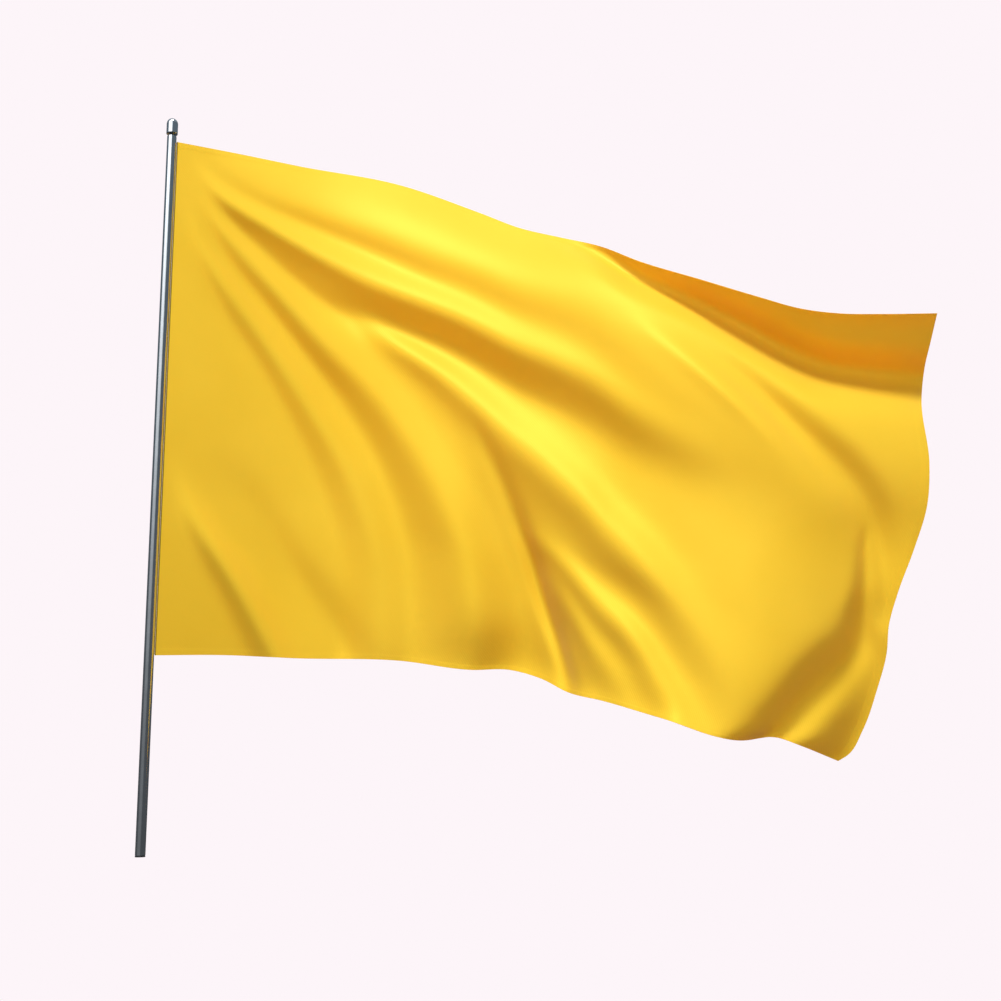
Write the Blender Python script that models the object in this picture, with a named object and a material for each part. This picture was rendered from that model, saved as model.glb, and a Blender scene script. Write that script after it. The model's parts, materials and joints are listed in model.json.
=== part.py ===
"""Rectangular flag on a slender round metal pole, in metres, +Z up.

The origin is the centre of the pole's foot. The flag flies toward +X and its front faces -Y.
The flag's hoist edge is sewn to a thick cord that runs in a groove along the pole's +X side.
"""

import math

import bmesh
import bpy
import numpy as np
from mathutils import Matrix, Vector

# Fits
REST_GAP = 0.0003        # between faces that touch
RUNNING_GAP = 0.0001     # on the radius of a journal that turns
SLIDE_GAP = 0.0004       # around the cord and on each side of the tape
SEAM_GAP = 0.0004        # from the tape to the line that the cloth turns on

# Pole: a drawn tube with a round bore and a cord groove side by side
POLE_LENGTH = 1.224
POLE_RADIUS = 0.008
POLE_CHAMFER = 0.0004
POLE_WALL = 0.0017       # outside the bore
POLE_RIB = 0.0011        # between the bore and the groove
GROOVE_LIP = 0.0014      # between the groove and the outside of the pole

# Foot plug
FOOT_HEAD = 0.0020
SPIGOT_LENGTH = 0.030

# Neck and spindle on top of the pole
SPINDLE_RADIUS = 0.0025
SPINDLE_GROOVE_DEPTH = 0.0005
SPINDLE_END = 0.0016     # what stands above the clip
NECK_SHOULDER = 0.0015   # step from the spindle out to the neck
NECK_CONE_RISE = 0.0025
WASHER_THICKNESS = 0.0008
CLIP_THICKNESS = 0.0008
CLIP_WALL = 0.0018
CLIP_OPENING = math.radians(70.0)

# Turning cap
CAP_GAP = 0.0050         # between the pole's top and the cap's rim
CAP_RADIUS = 0.00975
CAP_WALL = 0.0016
SLEEVE_HEIGHT = 0.0185
DOME_HEIGHT = 0.0105
DOME_WALL = 0.0030
DOME_SPIGOT = 0.0032
DOME_SPIGOT_WALL = 0.0016
WEB_HEIGHT = 0.0030      # underside of the web, above the cap's rim
WEB_THICKNESS = 0.0040
BUSH_WALL = 0.0016
BUSH_FLANGE = 0.0010
BUSH_LIP = 0.0013        # how far the flange stands out from the bush
BUSH_PROUD = 0.0005

# Hoist: the edge of the flag at the pole, with its cord and tape
HOIST_LENGTH = 0.900
HOIST_MARGIN = 0.010     # from the pole's top down to the flag's upper corner
CORD_RADIUS = 0.0023
CORD_SIDES = 16
CORD_SHORT = 0.0015      # the cord ends this far inside the flag's corners
TAPE_THICKNESS = 0.0012
TAPE_PROUD = 0.0008      # how far the tape stands out of the groove's mouth

# Stop under the cord
STOP_LENGTH = 0.012
SCREW_RADIUS = 0.0012
SCREW_SHORT = 0.0003     # how far each end of the screw lies inside the stop's surface
SOCKET_RADIUS = 0.00065
SOCKET_DEPTH = 0.0013

# Flag cloth
FLY_LENGTH = 1.500
CLOTH_THICKNESS = 0.0006
FLY_STEPS = 48
HOIST_STEPS = 30
HOIST_CALM = 0.06        # the folds start over about this length beside the pole
FOLD_SAMPLE = 0.01       # spacing of the points that stand for a crest line
FOLD_LEAST = 0.030       # half width of the tightest fold that this grid can carry
WAVE_LOW = 0.115         # the long wave's height to each side, at the bottom and at the top
WAVE_HIGH = 0.10
WAVE_STRETCH = 0.185     # how much longer the wave has grown by the time it reaches the fly

# The flying cloth is drawn for this fly and hoist, and is stretched to the flag's own.
# It is drawn as (out along the fly, up from the hoist's lower corner), as its outline looks
# from one point in front of it.
DRAWN_FLY = 1.500
DRAWN_HOIST = 0.900
FRONT_POINT = (0.561, -2.069, -0.192)
TOP_EDGE = (
    (0.112, 0.875), (0.218, 0.850), (0.393, 0.812), (0.532, 0.758), (0.601, 0.729),
    (0.670, 0.711), (0.738, 0.694), (0.806, 0.665), (0.908, 0.631), (1.009, 0.597),
    (1.076, 0.576), (1.144, 0.566), (1.212, 0.564), (1.309, 0.564),
)
BOTTOM_EDGE = (
    (0.106, -0.001), (0.235, -0.008), (0.396, -0.014), (0.509, -0.030), (0.573, -0.031),
    (0.621, -0.045), (0.668, -0.069), (0.716, -0.081), (0.811, -0.110), (0.937, -0.147),
    (0.994, -0.143), (1.031, -0.156), (1.090, -0.181),
)
# The free edge between those two ends, from the bottom up
FLY_EDGE = (
    (1.107, -0.171), (1.133, -0.132), (1.160, -0.069), (1.179, -0.014), (1.187, 0.035),
    (1.204, 0.083), (1.237, 0.157), (1.265, 0.232), (1.274, 0.300), (1.270, 0.412),
    (1.279, 0.465), (1.295, 0.518),
)
# Each fold is a crest line of (along the fly, up the hoist, half width, height), on the cloth
# laid flat, with the height counted toward the front, so a negative one is a valley.
FOLDS = {
    "roll": (
        (0.05, 0.93, 0.03, 0.0), (0.2, 0.955, 0.07, -0.03), (0.4, 0.965, 0.10, -0.065),
        (0.6, 0.955, 0.10, -0.085), (0.75, 0.94, 0.09, -0.07), (0.9, 0.93, 0.08, -0.03),
        (1.05, 0.92, 0.06, 0.0),
    ),
    "turned_top": (
        (0.68, 0.925, 0.02, 0.0), (0.8, 0.897, 0.024, -0.014), (0.89, 0.872, 0.028, -0.03),
        (0.975, 0.858, 0.032, -0.042), (1.062, 0.845, 0.036, -0.052), (1.15, 0.823, 0.04, -0.06),
        (1.235, 0.80, 0.042, -0.062), (1.335, 0.772, 0.045, -0.064), (1.44, 0.762, 0.048, -0.062),
        (1.6, 0.75, 0.05, -0.058),
    ),
    "top_lip": (
        (0.72, 0.95, 0.04, 0.0), (0.85, 0.955, 0.05, 0.025), (1.0, 0.965, 0.06, 0.05),
        (1.15, 0.975, 0.07, 0.07), (1.3, 0.985, 0.08, 0.09), (1.45, 0.995, 0.09, 0.11),
        (1.6, 1.0, 0.09, 0.12),
    ),
    "swell": (
        (0.0, 0.82, 0.08, 0.0), (0.5, 0.76, 0.12, 0.012), (0.9, 0.68, 0.14, 0.025),
        (1.2, 0.62, 0.14, 0.03), (1.6, 0.55, 0.13, 0.03),
    ),
    "upper_valley": (
        (0.05, 0.86, 0.02, 0.0), (0.15, 0.813, 0.02, -0.005), (0.27, 0.784, 0.024, -0.010),
        (0.39, 0.756, 0.028, -0.012), (0.50, 0.736, 0.031, -0.011), (0.62, 0.732, 0.036, -0.010),
        (0.75, 0.71, 0.04, -0.008), (0.9, 0.68, 0.05, -0.004), (1.0, 0.66, 0.05, 0.0),
    ),
    "first_crest": (
        (0.03, 0.87, 0.012, 0.0), (0.1, 0.812, 0.018, 0.009), (0.2, 0.772, 0.024, 0.014),
        (0.3, 0.732, 0.028, 0.017), (0.4, 0.695, 0.034, 0.018), (0.6, 0.668, 0.04, 0.018),
        (0.8, 0.62, 0.045, 0.016), (1.0, 0.555, 0.05, 0.008), (1.15, 0.52, 0.055, 0.0),
    ),
    "first_valley": (
        (0.03, 0.85, 0.012, 0.0), (0.07, 0.80, 0.014, -0.004), (0.16, 0.73, 0.022, -0.009),
        (0.24, 0.68, 0.026, -0.012), (0.32, 0.635, 0.03, -0.013), (0.41, 0.62, 0.032, -0.012),
        (0.58, 0.60, 0.034, -0.012), (0.70, 0.56, 0.036, -0.011), (0.82, 0.515, 0.04, -0.009),
        (1.0, 0.47, 0.05, -0.004), (1.12, 0.45, 0.05, 0.0),
    ),
    "second_crest": (
        (0.03, 0.85, 0.012, 0.0), (0.10, 0.757, 0.018, 0.008), (0.2, 0.672, 0.027, 0.013),
        (0.3, 0.575, 0.033, 0.016), (0.4, 0.495, 0.038, 0.018), (0.5, 0.395, 0.045, 0.02),
        (0.6, 0.265, 0.052, 0.021), (0.66, 0.08, 0.056, 0.021), (0.68, -0.12, 0.056, 0.021),
    ),
    "second_valley": (
        (0.04, 0.80, 0.012, 0.0), (0.10, 0.705, 0.016, -0.004), (0.20, 0.605, 0.024, -0.008),
        (0.30, 0.505, 0.03, -0.010), (0.375, 0.425, 0.034, -0.011), (0.44, 0.345, 0.036, -0.011),
        (0.49, 0.26, 0.04, -0.011), (0.53, 0.14, 0.042, -0.011), (0.56, -0.1, 0.042, -0.011),
    ),
    "third_crest": (
        (0.02, 0.80, 0.014, 0.0), (0.05, 0.725, 0.018, 0.006), (0.10, 0.66, 0.022, 0.010),
        (0.2, 0.55, 0.028, 0.013), (0.3, 0.43, 0.034, 0.015), (0.38, 0.33, 0.04, 0.015),
        (0.43, 0.23, 0.045, 0.013), (0.46, 0.1, 0.05, 0.010), (0.47, -0.12, 0.05, 0.010),
    ),
    "third_valley": (
        (0.03, 0.72, 0.014, 0.0), (0.10, 0.60, 0.022, -0.004), (0.2, 0.485, 0.028, -0.006),
        (0.29, 0.36, 0.034, -0.007), (0.36, 0.23, 0.04, -0.007), (0.40, 0.08, 0.045, -0.006),
        (0.41, -0.12, 0.045, -0.005),
    ),
    "middle_crest": (
        (0.36, 0.63, 0.018, 0.0), (0.45, 0.585, 0.025, 0.012), (0.55, 0.54, 0.033, 0.018),
        (0.7, 0.455, 0.045, 0.026), (0.8, 0.39, 0.052, 0.03), (0.9, 0.335, 0.055, 0.031),
        (1.0, 0.275, 0.052, 0.028), (1.15, 0.15, 0.058, 0.013), (1.25, 0.07, 0.06, 0.0),
    ),
    "middle_crease": (
        (0.60, 0.50, 0.015, 0.0), (0.65, 0.427, 0.018, -0.006), (0.70, 0.355, 0.018, -0.011),
        (0.742, 0.275, 0.017, -0.019), (0.79, 0.17, 0.016, -0.023), (0.82, 0.118, 0.016, -0.022),
        (0.855, 0.068, 0.016, -0.019), (0.905, 0.0, 0.018, -0.015), (0.98, -0.12, 0.02, -0.012),
    ),
    "middle_hollow": (
        (0.64, 0.40, 0.04, 0.0), (0.71, 0.27, 0.055, -0.028), (0.77, 0.14, 0.07, -0.053),
        (0.82, 0.02, 0.08, -0.062), (0.88, -0.15, 0.08, -0.062),
    ),
    "small_crest": (
        (0.79, 0.22, 0.018, 0.0), (0.84, 0.165, 0.022, 0.010), (0.90, 0.115, 0.026, 0.013),
        (0.97, 0.06, 0.032, 0.013), (1.1, -0.06, 0.034, 0.010),
    ),
    "lower_crest": (
        (0.76, 0.28, 0.018, 0.0), (0.84, 0.22, 0.028, 0.014), (0.9, 0.19, 0.034, 0.020),
        (0.99, 0.138, 0.036, 0.025), (1.06, 0.072, 0.042, 0.026), (1.24, -0.11, 0.05, 0.026),
    ),
    "under_roll": (
        (0.92, 0.80, 0.03, 0.0), (1.03, 0.775, 0.035, -0.010), (1.14, 0.728, 0.042, -0.020),
        (1.22, 0.67, 0.05, -0.033), (1.27, 0.612, 0.052, -0.037), (1.33, 0.555, 0.05, -0.036),
        (1.375, 0.50, 0.046, -0.029), (1.415, 0.445, 0.04, -0.025), (1.45, 0.38, 0.034, -0.018),
        (1.50, 0.27, 0.03, -0.010),
    ),
    "ridge": (
        (0.92, 0.785, 0.028, 0.0), (1.03, 0.738, 0.03, 0.007), (1.135, 0.68, 0.032, 0.011),
        (1.22, 0.615, 0.036, 0.012), (1.308, 0.53, 0.042, 0.009), (1.38, 0.44, 0.045, 0.0),
    ),
    "belly": (
        (1.0, 0.50, 0.15, 0.0), (1.15, 0.36, 0.15, 0.015), (1.23, 0.25, 0.15, 0.028),
        (1.25, 0.1, 0.14, 0.036), (1.25, -0.25, 0.13, 0.036),
    ),
    "fly_crease": (
        (1.395, 0.46, 0.008, 0.0), (1.403, 0.42, 0.010, -0.005), (1.423, 0.362, 0.014, -0.010),
        (1.438, 0.305, 0.02, -0.018), (1.442, 0.25, 0.028, -0.028), (1.425, 0.19, 0.04, -0.036),
        (1.38, 0.115, 0.05, -0.04), (1.35, 0.05, 0.055, -0.042), (1.30, -0.12, 0.055, -0.042),
    ),
    "bottom_tuck": (
        (0.60, -0.02, 0.06, 0.0), (0.66, -0.01, 0.08, -0.035), (0.72, 0.0, 0.09, -0.05),
        (0.78, -0.01, 0.08, -0.035), (0.84, -0.02, 0.06, 0.0),
    ),
    "fly_lean": (
        (1.62, 0.70, 0.12, 0.0), (1.62, 0.5, 0.12, 0.03), (1.62, 0.3, 0.12, 0.03),
        (1.62, 0.12, 0.12, 0.0),
    ),
    "fly_tail": (
        (1.46, 0.33, 0.03, 0.0), (1.485, 0.22, 0.045, -0.022), (1.49, 0.1, 0.06, -0.044),
        (1.49, -0.1, 0.07, -0.052),
    ),
    "hoist_crest": (
        (0.0, 0.34, 0.018, 0.0), (0.05, 0.255, 0.025, 0.013), (0.15, 0.14, 0.03, 0.027),
        (0.2, 0.08, 0.034, 0.030), (0.33, -0.08, 0.038, 0.030),
    ),
    "hoist_valley": (
        (0.10, 0.34, 0.03, 0.0), (0.2, 0.25, 0.035, -0.007), (0.27, 0.16, 0.035, -0.012),
        (0.35, 0.08, 0.04, -0.015), (0.52, -0.1, 0.04, -0.015),
    ),
}

ROUND_STEPS = 32
POLE_STEPS = 48

# What follows from the sizes above
GROOVE_RADIUS = CORD_RADIUS + SLIDE_GAP
GROOVE_MOUTH = TAPE_THICKNESS + 2 * SLIDE_GAP
GROOVE_X = POLE_RADIUS - GROOVE_LIP - GROOVE_RADIUS
BORE_LEFT = POLE_WALL - POLE_RADIUS
BORE_RIGHT = GROOVE_X - GROOVE_RADIUS - POLE_RIB
BORE_RADIUS = (BORE_RIGHT - BORE_LEFT) / 2
BORE_X = (BORE_RIGHT + BORE_LEFT) / 2
SPIGOT_RADIUS = BORE_RADIUS - REST_GAP

NECK_RADIUS = SPINDLE_RADIUS + NECK_SHOULDER
BUSH_BORE = SPINDLE_RADIUS + RUNNING_GAP
BUSH_RADIUS = BUSH_BORE + BUSH_WALL
BUSH_FLANGE_RADIUS = BUSH_RADIUS + BUSH_LIP
SLEEVE_BORE = CAP_RADIUS - CAP_WALL
CAP_RIM = POLE_LENGTH + CAP_GAP
SLEEVE_TOP = CAP_RIM + SLEEVE_HEIGHT
DOME_BASE = SLEEVE_TOP + REST_GAP
WEB_BOTTOM = CAP_RIM + WEB_HEIGHT
WEB_TOP = WEB_BOTTOM + WEB_THICKNESS
BUSH_SHOULDER = WEB_BOTTOM - REST_GAP
BUSH_BOTTOM = BUSH_SHOULDER - BUSH_FLANGE
BUSH_TOP = WEB_TOP + BUSH_PROUD
WASHER_TOP = BUSH_BOTTOM - REST_GAP
WASHER_BOTTOM = WASHER_TOP - WASHER_THICKNESS
NECK_TOP = WASHER_BOTTOM - REST_GAP
CLIP_BOTTOM = BUSH_TOP + REST_GAP
CLIP_TOP = CLIP_BOTTOM + CLIP_THICKNESS
SPINDLE_TOP = CLIP_TOP + REST_GAP + SPINDLE_END

HOIST_TOP = POLE_LENGTH - HOIST_MARGIN
HOIST_BOTTOM = HOIST_TOP - HOIST_LENGTH
HINGE_X = POLE_RADIUS + TAPE_PROUD + SEAM_GAP
STOP_RADIUS = GROOVE_RADIUS - REST_GAP
STOP_TOP = HOIST_BOTTOM + CORD_SHORT - REST_GAP


def clear_scene():
    for item in list(bpy.data.objects):
        bpy.data.objects.remove(item, do_unlink=True)


def finish_material(name, colour, roughness, metallic):
    material = bpy.data.materials.new(name)
    material.use_nodes = True
    shader = material.node_tree.nodes["Principled BSDF"]
    shader.inputs["Base Color"].default_value = (*colour, 1.0)
    shader.inputs["Roughness"].default_value = roughness
    shader.inputs["Metallic"].default_value = metallic
    return material


def add_object(name, mesh_data, colour=None, roughness=0.5, metallic=0.0, smooth_angle=30.0):
    """Put a bmesh in the scene as a named object, shaded smooth between its sharp edges."""
    bmesh.ops.recalc_face_normals(mesh_data, faces=mesh_data.faces)
    mesh = bpy.data.meshes.new(name)
    mesh_data.to_mesh(mesh)
    mesh_data.free()
    mesh.shade_smooth()
    mesh.set_sharp_from_angle(angle=math.radians(smooth_angle))
    made = bpy.data.objects.new(name, mesh)
    bpy.context.collection.objects.link(made)
    if colour:
        made.data.materials.append(finish_material(name, colour, roughness, metallic))
    return made


def place_origin(made, point):
    """Move an object's origin to a point of its joint's axis, with its shape left in place."""
    made.data.transform(Matrix.Translation(-Vector(point)))
    made.location = point


def as_guide(made):
    made.hide_render = True
    made.display_type = "WIRE"
    return made


def combine(made, other, operation):
    as_guide(other)
    boolean = made.modifiers.new(f"{operation.lower()} {other.name}", "BOOLEAN")
    boolean.operation = operation
    boolean.solver = "EXACT"
    boolean.object = other


def turned(profile, steps=ROUND_STEPS, axis_x=0.0):
    """A solid of revolution about a vertical axis, from a closed outline of (radius, height)."""
    solid = bmesh.new()
    ring = [solid.verts.new((axis_x + radius, 0.0, height)) for radius, height in profile]
    edges = [solid.edges.new((a, b)) for a, b in zip(ring, ring[1:] + ring[:1])
             if max(abs(a.co.x - axis_x), abs(b.co.x - axis_x)) > 1e-9]
    bmesh.ops.spin(
        solid, geom=ring + edges, cent=(axis_x, 0.0, 0.0), axis=(0.0, 0.0, 1.0),
        dvec=(0.0, 0.0, 0.0), angle=math.tau, steps=steps, use_duplicate=False,
    )
    bmesh.ops.remove_doubles(solid, verts=solid.verts, dist=1e-7)
    return solid


def rod(radius, bottom, top, axis_x=0.0, steps=ROUND_STEPS):
    return turned([(0.0, bottom), (radius, bottom), (radius, top), (0.0, top)], steps, axis_x)


def block(low, high):
    """A box between two corners."""
    solid = bmesh.new()
    bmesh.ops.create_cube(solid, size=1.0)
    low, high = Vector(low), Vector(high)
    bmesh.ops.scale(solid, vec=high - low, verts=solid.verts)
    bmesh.ops.translate(solid, vec=(low + high) / 2, verts=solid.verts)
    return solid


def groove_cutters(owner, bottom, top):
    """The round pocket of the cord groove and its narrow mouth, cut through a piece."""
    pocket = add_object(f"{owner.name} pocket", rod(GROOVE_RADIUS, bottom, top, GROOVE_X))
    mouth = add_object(f"{owner.name} mouth", block(
        (GROOVE_X, -GROOVE_MOUTH / 2, bottom),
        (2 * POLE_RADIUS, GROOVE_MOUTH / 2, top),
    ))
    combine(owner, pocket, "DIFFERENCE")
    combine(owner, mouth, "DIFFERENCE")


def chamfered(radius, bottom, top, chamfer):
    """Outline of a round bar with both end edges broken."""
    return [
        (0.0, bottom), (radius - chamfer, bottom), (radius, bottom + chamfer),
        (radius, top - chamfer), (radius - chamfer, top), (0.0, top),
    ]


def make_pole():
    bottom = FOOT_HEAD + REST_GAP
    tube = add_object(
        "pole_tube", turned(chamfered(POLE_RADIUS, bottom, POLE_LENGTH, POLE_CHAMFER), POLE_STEPS),
        (0.62, 0.66, 0.70), 0.16, 1.0,
    )
    past = 2 * POLE_RADIUS
    bore = add_object("pole bore", rod(BORE_RADIUS, bottom - past, POLE_LENGTH + past, BORE_X))
    combine(tube, bore, "DIFFERENCE")
    groove_cutters(tube, bottom - past, POLE_LENGTH + past)


def make_foot_plug():
    plug = add_object(
        "foot_plug", turned(chamfered(POLE_RADIUS, 0.0, FOOT_HEAD, POLE_CHAMFER), POLE_STEPS),
        (0.03, 0.03, 0.035), 0.5, 0.0,
    )
    inside = FOOT_HEAD / 2
    spigot = add_object(
        "foot spigot", rod(SPIGOT_RADIUS, inside, FOOT_HEAD + SPIGOT_LENGTH, BORE_X),
    )
    groove_cutters(plug, -POLE_RADIUS, FOOT_HEAD + POLE_RADIUS)
    combine(plug, spigot, "UNION")


def make_neck():
    """Plug, neck and spindle in one turned piece that the cap turns on."""
    base = POLE_LENGTH + REST_GAP
    groove = SPINDLE_RADIUS - SPINDLE_GROOVE_DEPTH
    chamfer = SPINDLE_GROOVE_DEPTH
    neck = add_object("neck_spindle", turned([
        (0.0, base), (POLE_RADIUS - POLE_CHAMFER, base),
        (POLE_RADIUS - POLE_CHAMFER, base + POLE_CHAMFER),
        (NECK_RADIUS, base + NECK_CONE_RISE), (NECK_RADIUS, NECK_TOP),
        (SPINDLE_RADIUS, NECK_TOP), (SPINDLE_RADIUS, CLIP_BOTTOM - REST_GAP),
        (groove, CLIP_BOTTOM - REST_GAP), (groove, CLIP_TOP + REST_GAP),
        (SPINDLE_RADIUS, CLIP_TOP + REST_GAP), (SPINDLE_RADIUS, SPINDLE_TOP - chamfer),
        (SPINDLE_RADIUS - chamfer, SPINDLE_TOP), (0.0, SPINDLE_TOP),
    ]), (0.55, 0.57, 0.60), 0.2, 1.0)
    spigot = add_object("neck spigot", rod(
        SPIGOT_RADIUS, POLE_LENGTH - SPIGOT_LENGTH, base + POLE_CHAMFER / 2, BORE_X,
    ))
    combine(neck, spigot, "UNION")


def make_washer():
    bore = SPINDLE_RADIUS + REST_GAP
    add_object("thrust_washer", turned([
        (bore, WASHER_BOTTOM), (BUSH_FLANGE_RADIUS, WASHER_BOTTOM),
        (BUSH_FLANGE_RADIUS, WASHER_TOP), (bore, WASHER_TOP),
    ]), (0.48, 0.48, 0.47), 0.35, 1.0)


def make_clip():
    """An open ring in the spindle's groove that keeps the cap from lifting off."""
    inner = SPINDLE_RADIUS - SPINDLE_GROOVE_DEPTH + REST_GAP
    outer = inner + CLIP_WALL
    ring = add_object("retaining_clip", turned([
        (inner, CLIP_BOTTOM), (outer, CLIP_BOTTOM), (outer, CLIP_TOP), (inner, CLIP_TOP),
    ]), (0.20, 0.21, 0.23), 0.35, 1.0)
    half = inner * math.tan(CLIP_OPENING / 2)
    opening = add_object("clip opening", block(
        (0.0, -half, CLIP_BOTTOM - CLIP_THICKNESS),
        (2 * outer, half, CLIP_TOP + CLIP_THICKNESS),
    ))
    combine(ring, opening, "DIFFERENCE")


def make_cap_sleeve():
    hole = BUSH_RADIUS + REST_GAP
    edge = POLE_CHAMFER
    sleeve = add_object("cap_sleeve", turned([
        (SLEEVE_BORE, CAP_RIM), (CAP_RADIUS - edge, CAP_RIM), (CAP_RADIUS, CAP_RIM + edge),
        (CAP_RADIUS, SLEEVE_TOP), (SLEEVE_BORE, SLEEVE_TOP), (SLEEVE_BORE, WEB_TOP),
        (hole, WEB_TOP), (hole, WEB_BOTTOM), (SLEEVE_BORE, WEB_BOTTOM),
    ], POLE_STEPS), (0.72, 0.76, 0.80), 0.12, 1.0)
    place_origin(sleeve, (0.0, 0.0, CAP_RIM))


def make_cap_bush():
    bush = add_object("cap_bush", turned([
        (BUSH_BORE, BUSH_BOTTOM), (BUSH_FLANGE_RADIUS, BUSH_BOTTOM),
        (BUSH_FLANGE_RADIUS, BUSH_SHOULDER), (BUSH_RADIUS, BUSH_SHOULDER),
        (BUSH_RADIUS, BUSH_TOP), (BUSH_BORE, BUSH_TOP),
    ]), (0.42, 0.42, 0.41), 0.4, 1.0)
    place_origin(bush, (0.0, 0.0, CAP_RIM))


def dome_arc(radius, base, height, steps=8):
    """Points of a quarter ellipse from its rim to just before its crown."""
    turns = [math.pi / 2 * step / steps for step in range(steps)]
    return [(radius * math.cos(turn), base + height * math.sin(turn)) for turn in turns]


def make_cap_dome():
    """A domed lid whose spigot closes the top of the sleeve."""
    spigot = SLEEVE_BORE - REST_GAP
    inner = spigot - DOME_SPIGOT_WALL
    bottom = SLEEVE_TOP - DOME_SPIGOT
    hollow = DOME_HEIGHT - DOME_WALL
    outside = dome_arc(CAP_RADIUS, DOME_BASE, DOME_HEIGHT)
    inside = dome_arc(inner, DOME_BASE, hollow)
    dome = add_object("cap_dome", turned(
        [(spigot, bottom), (spigot, DOME_BASE), *outside, (0.0, DOME_BASE + DOME_HEIGHT),
         (0.0, DOME_BASE + hollow), *reversed(inside), (inner, bottom)],
        POLE_STEPS,
    ), (0.72, 0.76, 0.80), 0.12, 1.0)
    place_origin(dome, (0.0, 0.0, CAP_RIM))


def make_hoist():
    """The cord in the groove and the tape that ties the cloth to it."""
    bottom = HOIST_BOTTOM + CORD_SHORT
    top = HOIST_TOP - CORD_SHORT
    add_object("hoist_cord", rod(CORD_RADIUS, bottom, top, GROOVE_X, CORD_SIDES),
               (0.30, 0.27, 0.20), 0.8, 0.0)
    start = GROOVE_X + CORD_RADIUS + REST_GAP
    add_object("hoist_tape", block(
        (start, -TAPE_THICKNESS / 2, bottom),
        (POLE_RADIUS + TAPE_PROUD, TAPE_THICKNESS / 2, top),
    ), (0.45, 0.33, 0.08), 0.85, 0.0)


def make_stop():
    """A slug that stands in the groove under the cord, held by a screw across it."""
    bottom = STOP_TOP - STOP_LENGTH
    middle = (STOP_TOP + bottom) / 2
    slug = add_object("cord_stop", rod(STOP_RADIUS, bottom, STOP_TOP, GROOVE_X),
                      (0.45, 0.46, 0.48), 0.3, 1.0)
    across = Matrix.Translation((GROOVE_X, 0.0, middle)) @ Matrix.Rotation(math.pi / 2, 4, "Y")
    hole = rod(SCREW_RADIUS + REST_GAP, -POLE_RADIUS, POLE_RADIUS)
    hole.transform(across)
    combine(slug, add_object("stop hole", hole), "DIFFERENCE")

    half = STOP_RADIUS - SCREW_SHORT
    body = rod(SCREW_RADIUS, -half, half)
    body.transform(across)
    screw = add_object("stop_screw", body, (0.12, 0.12, 0.13), 0.35, 1.0)
    socket = rod(SOCKET_RADIUS, half - SOCKET_DEPTH, half + SOCKET_DEPTH, steps=6)
    socket.transform(across)
    combine(screw, add_object("screw socket", socket), "DIFFERENCE")


def by_length(points):
    """Rows with the distance travelled over the first two values put in front."""
    rows = np.array(points, dtype=float)
    strides = np.linalg.norm(np.diff(rows[:, :2], axis=0), axis=1)
    return np.column_stack([np.concatenate([[0.0], np.cumsum(strides)]), rows])


def smooth_curve(rows, places):
    """A smooth curve through rows of (distance, values...), read at many distances."""
    knots, values = rows[:, 0], rows[:, 1:]
    steps = np.diff(knots)[:, None]
    rises = np.diff(values, axis=0) / steps
    inner = (rises[:-1] * steps[1:] + rises[1:] * steps[:-1]) / (steps[1:] + steps[:-1])
    slopes = np.vstack([rises[:1], inner, rises[-1:]])
    index = np.clip(np.searchsorted(knots, places, side="right") - 1, 0, len(knots) - 2)
    step = steps[index]
    u = (places - knots[index])[:, None] / step
    return (
        (2 * u**3 - 3 * u**2 + 1) * values[index]
        + (u**3 - 2 * u**2 + u) * step * slopes[index]
        + (3 * u**2 - 2 * u**3) * values[index + 1]
        + (u**3 - u**2) * step * slopes[index + 1]
    )


def fold_depth(along, up):
    """How far the folds move the cloth back (+) or to the front (-)."""
    depth = np.zeros(along.shape)
    for crest in FOLDS.values():
        rows = by_length(crest)
        count = math.ceil(rows[-1, 0] / FOLD_SAMPLE)
        spacing = rows[-1, 0] / count
        for s, t, width, height in smooth_curve(rows, (np.arange(count) + 0.5) * spacing):
            spread = max(width, FOLD_LEAST)
            share = height * width * spacing / (spread**2 * math.sqrt(math.pi))
            depth -= share * np.exp(-((along - s) ** 2 + (up - t) ** 2) / spread**2)
    return depth * (1.0 - np.exp(-((along / HOIST_CALM) ** 2)))


def flag_points():
    """The middle of the cloth as an array of (fly step, hoist step, xyz)."""
    u = np.linspace(0.0, 1.0, FLY_STEPS + 1)
    v = np.linspace(0.0, 1.0, HOIST_STEPS + 1)
    top = by_length([(0.0, DRAWN_HOIST), *TOP_EDGE])
    bottom = by_length([(0.0, 0.0), *BOTTOM_EDGE])
    fly = by_length([BOTTOM_EDGE[-1], *FLY_EDGE, TOP_EDGE[-1]])
    above = smooth_curve(top, u * top[-1, 0])[:, None, :]
    below = smooth_curve(bottom, u * bottom[-1, 0])[:, None, :]
    free = smooth_curve(fly, v * fly[-1, 0])[None, :, :]
    u, v = u[:, None, None], v[None, :, None]
    chord = np.array(BOTTOM_EDGE[-1]) * (1 - v) + np.array(TOP_EDGE[-1]) * v
    flat = below * (1 - v) + above * v + u * (free - chord)

    along, up = np.broadcast_arrays(u[..., 0] * DRAWN_FLY, v[..., 0] * DRAWN_HOIST)
    turn = 2 * math.pi * u[..., 0] / (1 + WAVE_STRETCH * u[..., 0])
    wave = (WAVE_LOW * (1 - v[..., 0]) + WAVE_HIGH * v[..., 0]) * np.sin(turn)
    y = fold_depth(along, up) + wave

    eye_x, eye_y, eye_z = FRONT_POINT
    nearness = (y - eye_y) / -eye_y
    x = eye_x + (flat[..., 0] - eye_x) * nearness
    z = eye_z + (flat[..., 1] - eye_z) * nearness
    return np.stack([
        HINGE_X + x * FLY_LENGTH / DRAWN_FLY, y, HOIST_BOTTOM + z * HOIST_LENGTH / DRAWN_HOIST,
    ], axis=-1)


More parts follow.
